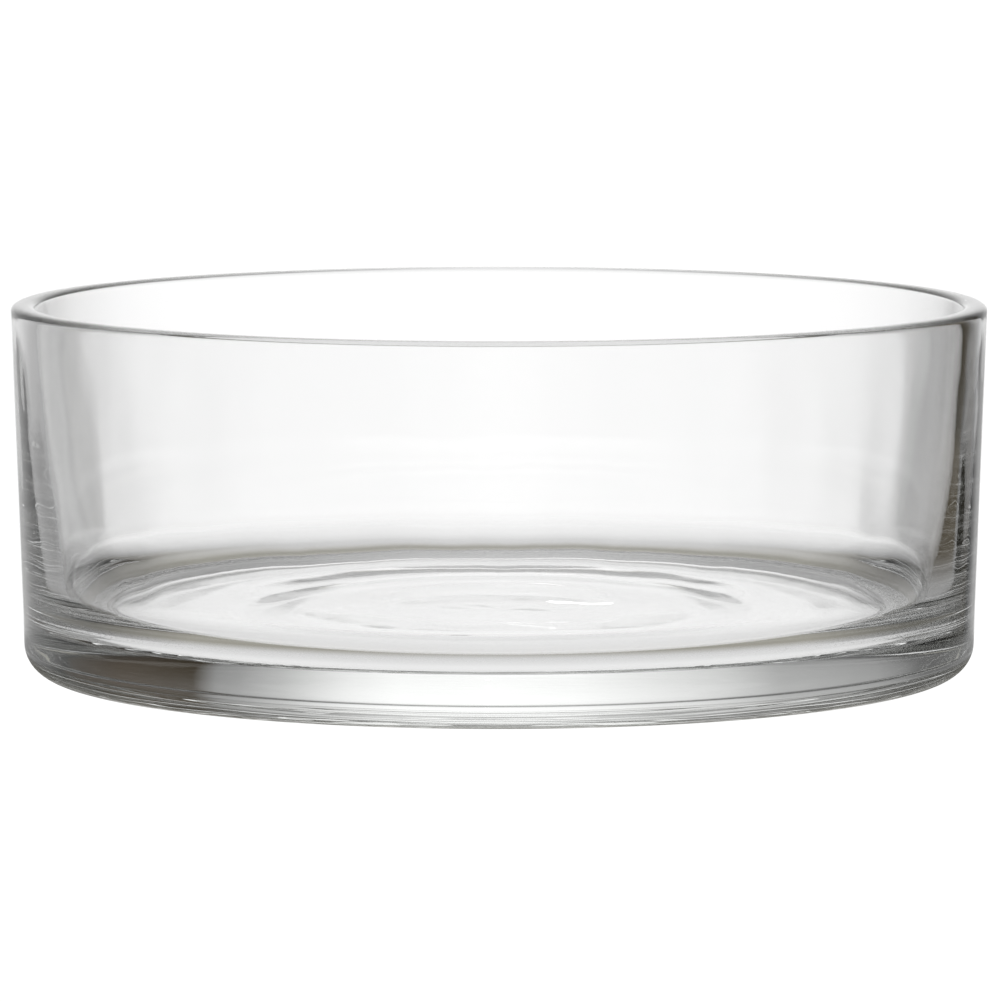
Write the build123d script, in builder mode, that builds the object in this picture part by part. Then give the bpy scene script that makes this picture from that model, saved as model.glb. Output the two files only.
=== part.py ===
"""A heavy round glass dish: one piece of clear soda-lime glass with a thick base and an open top.

The whole dish is a single piece of glass, so it is one node. Its section is drawn once on the XZ plane, its
corners are rounded there, and it is turned about Z. Millimetres, +Z up, origin on the axis at the height
that the foot stands on.
"""

import os

from build123d import *

# Driving dimensions.
rim_diameter = 200.0  # outside, measured at the rim
height = 76.0
wall_draft = 2.6  # how much smaller the outside radius is at the base than at the rim
base_thickness = 10.2  # from the standing plane up to the edge of the inner floor

# Thickness of the wall, which the inside makes in one long gentle curve.
rim_wall = 5.0
middle_wall = 5.8
floor_wall = 8.4  # where the curve would reach the floor, before that corner is rounded

# Rounded corners.
rim_outer_round = 1.6
rim_inner_round = 1.4
lower_edge_round = 6.2
floor_corner_round = 9.5

# The inner floor and the underside are both slightly hollow. The underside's hollow is flat across the
# middle, and its edge is a quarter of an ellipse that comes down to the foot.
floor_sag = 0.5
recess_depth = 1.9
recess_edge_width = 12.0
foot_width = 6.0  # the flat ring that the dish stands on
foot_edge_round = 0.5

# The taper's radius at the top and the bottom, before the rim and the lower edge are rounded.
rim_radius = rim_diameter / 2 + wall_draft * rim_outer_round / height
base_radius = rim_radius - wall_draft
foot_inner_radius = base_radius - lower_edge_round - foot_width
middle_height = (height + base_thickness) / 2


def outer_radius(z):
    """Radius of the outside at height z: a straight taper from the rim down to the base."""
    return base_radius + wall_draft * z / height


# The section's corners, each as (radius, height).
recess_top = (0, recess_depth)
recess_shoulder = (foot_inner_radius - recess_edge_width, recess_depth)
foot_inner_corner = (foot_inner_radius, 0)
lower_corner = (base_radius, 0)
rim_outer_corner = (rim_radius, height)
rim_inner_corner = (rim_radius - rim_wall, height)
wall_middle = (outer_radius(middle_height) - middle_wall, middle_height)
floor_corner = (outer_radius(base_thickness) - floor_wall, base_thickness)
floor_middle = (0, base_thickness - floor_sag)

with BuildPart() as dish:
    with BuildSketch(Plane.XZ) as section:
        with BuildLine():
            Line(recess_top, recess_shoulder)
            EllipticalCenterArc((recess_shoulder[0], 0), recess_edge_width, recess_depth, arc_size=90)
            Polyline(foot_inner_corner, lower_corner, rim_outer_corner, rim_inner_corner)
            ThreePointArc(rim_inner_corner, wall_middle, floor_corner)
            TangentArc(floor_middle, floor_corner, tangent=(1, 0))
            Line(floor_middle, recess_top)
        make_face()
        for corner, radius in (
            (foot_inner_corner, foot_edge_round),
            (lower_corner, lower_edge_round),
            (rim_outer_corner, rim_outer_round),
            (rim_inner_corner, rim_inner_round),
            (floor_corner, floor_corner_round),
        ):
            fillet(section.vertices().sort_by_distance(corner)[0], radius)
    revolve(axis=Axis.Z)

dish.part.label = "dish"
os.makedirs("parts", exist_ok=True)
export_step(dish.part, "parts/dish.step")
print("glass, cubic centimetres:", round(dish.part.volume / 1000, 1))
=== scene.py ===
"""A heavy round dish of clear glass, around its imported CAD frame, in a white studio.

The glass is one closed mesh on the CAD section, turned about Z. It carries what the plain CAD solid leaves
out: a crowned rim, the mould's rings on the floor, and slight ripples in the walls and the base.
Metres, +Z up.
"""

import math

import bpy
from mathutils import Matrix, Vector, noise


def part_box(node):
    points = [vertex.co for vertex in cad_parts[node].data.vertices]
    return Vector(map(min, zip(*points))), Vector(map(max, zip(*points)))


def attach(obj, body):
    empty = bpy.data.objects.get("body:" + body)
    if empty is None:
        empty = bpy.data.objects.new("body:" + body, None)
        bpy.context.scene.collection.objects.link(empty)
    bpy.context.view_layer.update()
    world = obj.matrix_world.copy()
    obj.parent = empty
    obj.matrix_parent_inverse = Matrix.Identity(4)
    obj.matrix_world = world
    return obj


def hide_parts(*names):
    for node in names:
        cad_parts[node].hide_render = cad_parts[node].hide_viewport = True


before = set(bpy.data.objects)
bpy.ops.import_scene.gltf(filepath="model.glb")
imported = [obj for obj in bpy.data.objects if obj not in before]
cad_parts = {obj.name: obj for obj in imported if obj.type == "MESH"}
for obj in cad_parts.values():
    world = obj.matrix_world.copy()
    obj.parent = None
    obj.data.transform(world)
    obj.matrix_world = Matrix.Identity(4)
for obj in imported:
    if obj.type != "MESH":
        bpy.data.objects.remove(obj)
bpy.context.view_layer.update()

MM = 0.001
low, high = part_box("dish")

# The dish's own sizes, in metres. The rim's radius and the height come from the CAD.
rim_radius = min(high.x, high.y, -low.x, -low.y)
height = high.z - low.z
wall_draft = 2.6 * MM
base_thickness = 10.2 * MM
rim_wall = 5.0 * MM
middle_wall = 5.8 * MM
floor_wall = 8.4 * MM
rim_outer_round = 1.6 * MM
rim_inner_round = 1.4 * MM
rim_squareness = 2.6
lower_edge_round = 6.2 * MM
floor_corner_round = 9.5 * MM
floor_sag = 0.5 * MM
recess_depth = 1.9 * MM
recess_edge_width = 12.0 * MM
foot_width = 6.0 * MM

# How finely the mesh is cut: steps round the axis, and rows along each stretch of the section.
segments = 320
underside_rows = 80
foot_rows = 6
edge_rows = 14
wall_rows = 36
rim_rows = 26
corner_rows = 18
floor_rows = 84

# Marks of the mould: shallow rings on the floor, as (radius, half width, height).
floor_rings = [
    (67.0 * MM, 3.0 * MM, -0.050 * MM),
    (55.0 * MM, 4.5 * MM, 0.250 * MM),
    (43.0 * MM, 4.0 * MM, -0.160 * MM),
    (28.0 * MM, 8.5 * MM, 0.400 * MM),
]

# Ripples that the cooling glass keeps, as amplitudes. They die away towards the rim and the axis.
wall_ripple = 0.070 * MM
floor_ripple = 0.026 * MM
rim_calm = 12 * MM
floor_calm = 34 * MM
underside_calm = 8 * MM

# The noise behind them, as (features per radian round the dish, the length of one along the section).
wall_streaks = (9, 50 * MM)
wall_dimples = (18, 14 * MM)
dimple_share = 0.25
floor_waves = (2.2, 5 * MM)
floor_patch = 14 * MM
underside_waves = (2.0, 7 * MM)

# The glass itself. Its skin has broad waves and a finer grain, and its scuffs are finer still, all in
# features per metre.
glass_ior = 1.52
glass_tint = (0.80, 0.86, 0.80)
skin_height = 0.012 * MM
skin_waves = 55.0
skin_grain = 260.0
grain_share = 0.2
scuff_grain = 900.0
scuffed_below = 0.05 * MM

# The table: its radius, the small gap under the foot, how far out its painted shadow is set, and where the
# painted shade at the dish's two sides begins. Then how strongly the table and the studio shine.
table_radius = 1.2
table_sides = 128
table_gap = 0.2 * MM
shaded_radius = 0.2
foot_shade_radius = 0.088
table_strength = 1.06
studio_strength = 1.14

# One small lamp beyond the dish, in degrees: its azimuth, its elevation and its angular radius.
lamp_azimuth = 0.88
lamp_elevation = 6.95
lamp_radius = 0.2
lamp_light = (3.0, 3.0, 3.0)

# What shows through one wall from the sides and the back, and how far the backdrop goes to each side
# before it repeats, when it shows through two.
plain_light = (0.92, 0.92, 0.92)
fold_angle = 22.5

# The camera: its distance from the middle of the dish, how far it looks down, its lens and its aim.
camera_distance = 1.5537
camera_tilt = 5.867
camera_lens = 271.6
camera_aim = (0.0004, 0, 0.0349)

# Enough bounces for light to get out of thick glass.
most_bounces = 40
most_reflections = 32

WHITE = (1.0, 1.0, 1.0)


def outer_radius(z):
    """Radius of the outside at height z."""
    return rim_radius - wall_draft * (1 - z / height)


def inner_radius(z):
    """Radius of the inside at height z, on a curve through the rim, the middle and the floor corner."""
    middle = (height + base_thickness) / 2
    points = []
    for level, wall in ((height, rim_wall), (middle, middle_wall), (base_thickness, floor_wall)):
        points.append((level, outer_radius(level) - wall))
    total = 0
    for i, (z_i, r_i) in enumerate(points):
        term = r_i
        for j, (z_j, _) in enumerate(points):
            if j != i:
                term *= (z - z_j) / (z_i - z_j)
        total += term
    return total


def spread(start, end, count, func):
    """count points of func from start up to, but not including, end."""
    return [func(start + (end - start) * i / count) for i in range(count)]


def rounding(before, corner, after, count):
    """A rounded corner: a cubic curve that leaves and meets the two sides along them. At this pull it is as
    good as a circle."""
    pull = 0.5523
    b = Vector(before).lerp(Vector(corner), pull)
    c = Vector(after).lerp(Vector(corner), pull)
    a, d = Vector(before), Vector(after)

    def at(t):
        return tuple(a * (1 - t) ** 3 + b * 3 * t * (1 - t) ** 2 + c * 3 * t * t * (1 - t) + d * t ** 3)

    return spread(0, 1, count, at)


def section():
    """The outline, as (zone, radius, height), from the underside's middle round to the floor's middle."""
    foot_outer = outer_radius(0) - lower_edge_round
    foot_inner = foot_outer - foot_width
    floor_edge = inner_radius(base_thickness) - floor_corner_round
    wall_foot = base_thickness + floor_corner_round
    wall_top = height - rim_inner_round

    def underside(r):
        along = max(0.0, 1 - (foot_inner - r) / recess_edge_width)
        return (r, recess_depth * math.sqrt(1 - along ** 2) if r < foot_inner else 0.0)

    def wall_out(z):
        return (outer_radius(z), z)

    def wall_in(z):
        return (inner_radius(z), z)

    def floor(r):
        rings = sum(rise * math.exp(-((r - place) / width) ** 2) for place, width, rise in floor_rings)
        return (r, base_thickness - floor_sag * (1 - (r / (floor_edge + floor_corner_round)) ** 2) + rings)

    def rim(turn):
        """The rim's rounded top, squarer than an ellipse: outside at no turn, inside at half a turn."""
        across, up = math.cos(turn), math.sin(turn)
        reach = math.copysign(abs(across) ** (2 / rim_squareness), across)
        fall = rim_outer_round if across > 0 else rim_inner_round
        z = height - fall * (1 - up ** (2 / rim_squareness))
        share = (1 + reach) / 2
        return (inner_radius(z) * (1 - share) + outer_radius(z) * share, z)

    lower_corner = (outer_radius(0), 0)
    floor_corner = (inner_radius(base_thickness), base_thickness)
    stretches = [
        ("underside", spread(0, foot_inner, underside_rows, underside)),
        ("foot", spread(foot_inner, foot_outer, foot_rows, lambda r: (r, 0.0))),
        ("edge", rounding((foot_outer, 0), lower_corner, wall_out(lower_edge_round), edge_rows)),
        ("outside", spread(lower_edge_round, height - rim_outer_round, wall_rows, wall_out)),
        ("rim", spread(0, math.pi, rim_rows, rim)),
        ("inside", spread(wall_top, wall_foot, wall_rows, wall_in)),
        ("corner", rounding(wall_in(wall_foot), floor_corner, floor(floor_edge), corner_rows)),
        ("floor", spread(floor_edge, 0, floor_rows, floor)),
    ]
    return [(zone, r, z) for zone, points in stretches for r, z in points]


def rippled(zone, r, z, angle):
    """The point at this radius, height and angle, moved by less than a tenth of a millimetre."""
    across, along = math.cos(angle), math.sin(angle)
    if zone == "inside":
        fade = min(1.0, (height - z) / rim_calm)
        rate, length = wall_streaks
        streaks = noise.noise(Vector((across * rate, along * rate, z / length)))
        rate, length = wall_dimples
        dimples = noise.noise(Vector((across * rate, along * rate, z / length)))
        r += wall_ripple * fade * (streaks + dimple_share * dimples)
    elif zone == "floor":
        fade = min(1.0, (r / floor_calm) ** 2)
        rate, length = floor_waves
        wave = noise.noise(Vector((r / length, across * rate, along * rate)))
        patch = noise.noise(Vector((r * across / floor_patch, r * along / floor_patch, 3.0)))
        z += floor_ripple * fade * (wave + patch)
    elif zone == "underside":
        fade = min(1.0, r / underside_calm)
        rate, length = underside_waves
        z += floor_ripple * fade * noise.noise(Vector((r / length, across * rate, along * rate + 5)))
    return (r * across, r * along, z)


def make_glass():
    """The dish: its section turned about Z into one closed mesh, with a fan of triangles round each end of
    the axis."""
    rows = section()
    verts, faces = [], []
    for zone, r, z in rows[1:]:
        for k in range(segments):
            verts.append(rippled(zone, r, z, 2 * math.pi * k / segments))
    count = len(rows) - 1
    for i in range(count - 1):
        for k in range(segments):
            n = (k + 1) % segments
            row, following = i * segments, (i + 1) * segments
            faces.append((row + k, row + n, following + n, following + k))
    bottom, top = len(verts), len(verts) + 1
    verts.append((0, 0, rows[0][2]))
    verts.append((0, 0, base_thickness - floor_sag))
    last = (count - 1) * segments
    for k in range(segments):
        n = (k + 1) % segments
        faces.append((bottom, n, k))
        faces.append((last + k, last + n, top))
    mesh = bpy.data.meshes.new("glass_dish")
    mesh.from_pydata(verts, [], faces)
    mesh.shade_smooth()
    mesh.validate()
    piece = bpy.data.objects.new("glass_dish", mesh)
    bpy.context.scene.collection.objects.link(piece)
    return piece


def maths(tree, operation, *values):
    """A Math node on numbers and sockets."""
    node = tree.nodes.new("ShaderNodeMath")
    node.operation = operation
    for socket, value in zip(node.inputs, values):
        if isinstance(value, (int, float)):
            socket.default_value = value
        else:
            tree.links.new(value, socket)
    return node.outputs[0]


def ramp(tree, value, stops):
    """A colour ramp over value, with (place, grey or colour) stops."""
    node = tree.nodes.new("ShaderNodeValToRGB")
    tree.links.new(value, node.inputs[0])
    elements = node.color_ramp.elements
    while len(elements) > 1:
        elements.remove(elements[-1])
    for i, (place, colour) in enumerate(stops):
        if isinstance(colour, (int, float)):
            colour = (colour, colour, colour)
        e = elements[0] if i == 0 else elements.new(place)
        e.position = place
        e.color = (*colour, 1)
    return node.outputs[0]


def mix(tree, share, a, b):
    """Colour a where share is 0 and b where it is 1."""
    node = tree.nodes.new("ShaderNodeMix")
    node.data_type = "RGBA"
    for socket, value in ((node.inputs[0], share), (node.inputs[6], a), (node.inputs[7], b)):
        if isinstance(value, (int, float)):
            socket.default_value = value
        elif isinstance(value, tuple):
            socket.default_value = (*value, 1)
        else:
            tree.links.new(value, socket)
    return node.outputs[2]


def times(tree, a, b):
    """Two colours multiplied."""
    node = tree.nodes.new("ShaderNodeMix")
    node.data_type = "RGBA"
    node.blend_type = "MULTIPLY"
    node.inputs[0].default_value = 1.0
    tree.links.new(a, node.inputs[6])
    tree.links.new(b, node.inputs[7])
    return node.outputs[2]


def cloud(tree, coords, scale):
    """Soft noise in object space, with scale features per metre."""
    node = tree.nodes.new("ShaderNodeTexNoise")
    node.inputs["Scale"].default_value = scale
    node.inputs["Detail"].default_value = 2.0
    tree.links.new(coords, node.inputs["Vector"])
    return node.outputs[0]


def glass_material():
    """Clear glass, faintly green in its depth, with a skin that is wavy by about a hundredth of a
    millimetre and a foot ring that is scuffed where it stands."""
    mat = bpy.data.materials.new("clear_glass")
    mat.use_nodes = True
    tree = mat.node_tree
    shader = tree.nodes["Principled BSDF"]
    shader.inputs["Base Color"].default_value = (*WHITE, 1)
    shader.inputs["IOR"].default_value = glass_ior
    shader.inputs["Transmission Weight"].default_value = 1.0
    coords = tree.nodes.new("ShaderNodeTexCoord").outputs["Object"]
    parts = tree.nodes.new("ShaderNodeSeparateXYZ")
    tree.links.new(coords, parts.inputs[0])
    touching = maths(tree, "LESS_THAN", parts.outputs[2], scuffed_below)
    scuffs = ramp(tree, cloud(tree, coords, scuff_grain), [(0.35, 0.04), (0.50, 0.16), (0.62, 0.38)])
    tree.links.new(times(tree, touching, scuffs), shader.inputs["Roughness"])
    grain = cloud(tree, coords, skin_grain)
    skin = maths(tree, "MULTIPLY_ADD", grain, grain_share, cloud(tree, coords, skin_waves))
    bump = tree.nodes.new("ShaderNodeBump")
    bump.inputs["Strength"].default_value = 1.0
    bump.inputs["Distance"].default_value = skin_height
    tree.links.new(skin, bump.inputs["Height"])
    tree.links.new(bump.outputs[0], shader.inputs["Normal"])
    absorb = tree.nodes.new("ShaderNodeVolumeAbsorption")
    absorb.inputs["Color"].default_value = (*glass_tint, 1)
    absorb.inputs["Density"].default_value = 1.0
    tree.links.new(absorb.outputs[0], tree.nodes["Material Output"].inputs["Volume"])
    return mat


# Light by azimuth in degrees, as (azimuth, grey or colour) stops. Straight beyond the dish is 0, and to the
# right is positive. Behind the camera it is the same again, turned by half a turn. First the light above
# the horizon, then just under it, and then, in TABLE, from about 11 degrees under it.
BACKDROP = [
    (-90, 0.25), (-72, 0.14),
    (-60, 0.10), (-52, 0.13), (-40, 0.32), (-25, 0.42), (-18, 0.66), (-12, 0.80), (-6, 0.95),
    (0, 1.0), (8, 0.97), (12, 0.84), (18, 0.50), (22.5, 0.33), (25.2, 0.27),
]
CARD = [
    (28.0, (0.055, 0.045, 0.032)), (40, (0.065, 0.050, 0.035)), (54, (0.050, 0.042, 0.032)),
    (57, (0.020, 0.022, 0.020)), (61, (0.05, 0.05, 0.047)), (70, 0.12), (90, 0.25),
]
LOW_LEFT = [(-90, 0.25), (-72, 0.14), (-60, 0.25), (-36, 0.36), (-30, 0.41)]
LOW_BACKDROP = [
    (-25, 0.50), (-19, 0.61), (-16, 0.60), (-13, 0.55), (-11, 0.64), (-9, 0.82), (-6, 0.92), (-3, 0.98),
    (0, 1.0), (3, 0.98), (6, 0.91), (8, 0.83), (10, 0.62), (12, 0.48), (17, 0.50), (20, 0.41),
]
LOW_CARD = [
    (23, 0.25), (25.5, 0.10), (29, (0.050, 0.042, 0.028)), (34, (0.036, 0.031, 0.020)),
    (60, 0.04), (90, 0.20),
]
TABLE = [
    (-90, 0.25), (-60, 0.20), (-36, 0.34), (-31, 0.30), (-25, 0.42), (-19, 0.48), (-14, 0.47),
    (-10, 0.66), (-6, 0.82), (-3, 0.93), (0, 0.95), (3, 0.93), (6, 0.78), (8, 0.70), (10, 0.56),
    (12, 0.42), (16, 0.36), (20, 0.37), (24, 0.24),
    (27, (0.105, 0.090, 0.066)), (36, (0.090, 0.076, 0.054)), (60, 0.06), (90, 0.15),
]

# The same by elevation: all of the light fades upwards, and a little downwards.
RISE = [
    (-90, 0.80), (-40, 0.80), (-20, 0.95), (-12, 1.0),
    (0, 1.0), (8, 0.95), (20, 0.62), (35, 0.34), (90, 0.30),
]

# What the glass sees of the table, as (metres from the axis, grey or colour): a painted contact shadow,
# darkest just outside the foot, under the dish's rounded lower edge, and lighter painted shade under the
# dish itself.
PAINTED_TABLE_SHADOW = [
    (0, 0.84), (0.080, 0.84), (0.088, 0.66), (0.093, (0.34, 0.33, 0.29)), (0.098, (0.34, 0.33, 0.29)),
    (0.101, (0.50, 0.49, 0.46)), (0.104, 0.68), (0.107, 0.80), (0.112, 0.90), (0.120, 0.96), (0.130, 1.0),
]


def by_degrees(tree, value, stops):
    """A colour ramp over an angle from -90 to 90 degrees."""
    place = maths(tree, "DIVIDE", maths(tree, "ADD", value, 90), 180)
    return ramp(tree, place, [((d + 90) / 180, c) for d, c in stops])


def light_around(tree, azimuth, elevation):
    """The light by direction, with the backdrop and the cards, before it fades upwards."""
    above = by_degrees(tree, azimuth, BACKDROP + CARD)
    level_with = by_degrees(tree, azimuth, LOW_LEFT + LOW_BACKDROP + LOW_CARD)
    on_table = by_degrees(tree, azimuth, TABLE)
    under_horizon = by_degrees(tree, elevation, [(-3.0, 1.0), (0.0, 0.0)])
    under_edge = by_degrees(tree, elevation, [(-12.2, 1.0), (-10.8, 0.0)])
    return mix(tree, under_edge, mix(tree, under_horizon, above, level_with), on_table)


def seen_through(tree, light, azimuth, y):
    """The light as the glass shows it. Behind the camera it is dim where the glass reflects it, and plain
    and bright where it shows through one wall. Through two walls it is the low backdrop, all the way
    round."""
    path = tree.nodes.new("ShaderNodeLightPath")
    # Two walls are four surfaces.
    two_walls = maths(tree, "GREATER_THAN", path.outputs["Transmission Depth"], 3.5)
    unreflected = maths(tree, "LESS_THAN", path.outputs["Glossy Depth"], 0.5)
    straight = maths(tree, "MULTIPLY", two_walls, unreflected)
    forward = maths(tree, "MULTIPLY_ADD", y, 0.5, 0.5)
    room = ramp(tree, forward, [(0.40, 0.15), (0.60, 1.0)])
    behind = maths(tree, "MULTIPLY", unreflected, ramp(tree, forward, [(0.56, 1.0), (0.62, 0.0)]))
    around = mix(tree, behind, times(tree, light, room), plain_light)
    fold = maths(tree, "WRAP", azimuth, fold_angle, -fold_angle)
    return mix(tree, straight, around, by_degrees(tree, fold, LOW_BACKDROP))


def lamp_mask(tree, direction):
    """1 within the lamp and 0 elsewhere."""
    turn, lift = math.radians(lamp_azimuth), math.radians(lamp_elevation)
    off = tree.nodes.new("ShaderNodeVectorMath")
    off.operation = "DISTANCE"
    tree.links.new(direction, off.inputs[0])
    level = math.cos(lift)
    off.inputs[1].default_value = (math.sin(turn) * level, math.cos(turn) * level, math.sin(lift))
    return maths(tree, "LESS_THAN", off.outputs["Value"], math.radians(lamp_radius))


def studio():
    """What surrounds the dish, by direction: a backdrop that fades to both sides, a brown card on the
    right, a grey one on the left, soft light above and one small lamp. To the eye itself it is plain
    white."""
    world = bpy.data.worlds.new("studio")
    bpy.context.scene.world = world
    world.use_nodes = True
    tree = world.node_tree
    tree.nodes.clear()
    direction = tree.nodes.new("ShaderNodeTexCoord").outputs["Generated"]
    parts = tree.nodes.new("ShaderNodeSeparateXYZ")
    tree.links.new(direction, parts.inputs[0])
    x, y, z = parts.outputs
    to_degrees = 180 / math.pi
    turn = maths(tree, "ARCTANGENT", maths(tree, "DIVIDE", x, y))
    azimuth = maths(tree, "MULTIPLY", turn, to_degrees)
    elevation = maths(tree, "MULTIPLY", maths(tree, "ARCSINE", z), to_degrees)
    level = seen_through(tree, light_around(tree, azimuth, elevation), azimuth, y)
    overhead = by_degrees(tree, elevation, [(55, 0.0), (75, 1.0)])
    soft = times(tree, mix(tree, overhead, level, WHITE), by_degrees(tree, elevation, RISE))
    lit = mix(tree, lamp_mask(tree, direction), soft, lamp_light)
    seen = tree.nodes.new("ShaderNodeLightPath").outputs["Is Camera Ray"]
    background = tree.nodes.new("ShaderNodeBackground")
    background.inputs["Strength"].default_value = studio_strength
    tree.links.new(mix(tree, seen, lit, WHITE), background.inputs["Color"])
    out = tree.nodes.new("ShaderNodeOutputWorld")
    tree.links.new(background.outputs[0], out.inputs[0])


def table_material():
    """To the eye the table is plain white. What the glass sees of it is a glow with painted shade: a
    painted shadow, darkest at the foot, where the dish keeps the light off, and painted shade on its two
    sides. A few centimetres past the dish the studio takes over."""
    mat = bpy.data.materials.new("floor")
    mat.use_nodes = True
    tree = mat.node_tree
    tree.nodes.clear()
    coords = tree.nodes.new("ShaderNodeTexCoord").outputs["Object"]
    length = tree.nodes.new("ShaderNodeVectorMath")
    length.operation = "LENGTH"
    tree.links.new(coords, length.inputs[0])
    reach = length.outputs["Value"]
    parts = tree.nodes.new("ShaderNodeSeparateXYZ")
    tree.links.new(coords, parts.inputs[0])
    # Painted shade on the table to the dish's left and right, darker the further to the side.
    across = maths(tree, "ABSOLUTE", maths(tree, "DIVIDE", parts.outputs[0], reach))
    beside = maths(tree, "MULTIPLY", across, maths(tree, "GREATER_THAN", reach, foot_shade_radius))
    painted_side_shade = ramp(tree, beside, [(0.72, 1.0), (0.93, 0.40)])
    distance = maths(tree, "DIVIDE", reach, shaded_radius)

    def by_distance(stops):
        return ramp(tree, distance, [(d / shaded_radius, v) for d, v in stops])

    far = by_distance([(0.122, 0.0), (0.145, 1.0)])
    seen = tree.nodes.new("ShaderNodeLightPath").outputs["Is Camera Ray"]
    glow = tree.nodes.new("ShaderNodeEmission")
    # The glow that the glass sees: the painted shadow at the foot times the painted shade at the sides.
    shade = times(tree, by_distance(PAINTED_TABLE_SHADOW), painted_side_shade)
    tree.links.new(mix(tree, seen, shade, WHITE), glow.inputs["Color"])
    glow.inputs["Strength"].default_value = table_strength
    clear = tree.nodes.new("ShaderNodeBsdfTransparent")
    both = tree.nodes.new("ShaderNodeMixShader")
    tree.links.new(maths(tree, "MULTIPLY", far, maths(tree, "SUBTRACT", 1, seen)), both.inputs[0])
    tree.links.new(glow.outputs[0], both.inputs[1])
    tree.links.new(clear.outputs[0], both.inputs[2])
    out = tree.nodes.new("ShaderNodeOutputMaterial")
    tree.links.new(both.outputs[0], out.inputs[0])
    return mat


def make_floor():
    """The table: a plain round disc just under the foot."""
    turns = [2 * math.pi * k / table_sides for k in range(table_sides)]
    verts = [(table_radius * math.cos(turn), table_radius * math.sin(turn), 0) for turn in turns]
    mesh = bpy.data.meshes.new("floor")
    mesh.from_pydata(verts, [], [tuple(range(table_sides))])
    mesh.materials.append(table_material())
    floor = bpy.data.objects.new("floor", mesh)
    floor.location.z = low.z - table_gap
    bpy.context.scene.collection.objects.link(floor)


def make_camera():
    """The camera, straight in front of the dish and a little above it."""
    camera = bpy.data.cameras.new("camera")
    camera.lens = camera_lens
    camera.sensor_width = 36
    camera.clip_start = 0.01
    camera.clip_end = 50
    item = bpy.data.objects.new("camera", camera)
    bpy.context.scene.collection.objects.link(item)
    tilt = math.radians(camera_tilt)
    item.location = (0, -camera_distance * math.cos(tilt), height / 2 + camera_distance * math.sin(tilt))
    item.rotation_euler = (Vector(camera_aim) - item.location).to_track_quat("-Z", "Y").to_euler()
    bpy.context.scene.camera = item


glass = make_glass()
glass.data.materials.append(glass_material())
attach(glass, "root")
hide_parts("dish")
studio()
make_floor()
make_camera()

scene = bpy.context.scene
scene.view_settings.view_transform = "Standard"
scene.cycles.max_bounces = most_bounces
scene.cycles.transmission_bounces = most_bounces
scene.cycles.glossy_bounces = most_reflections

bpy.context.view_layer.update()
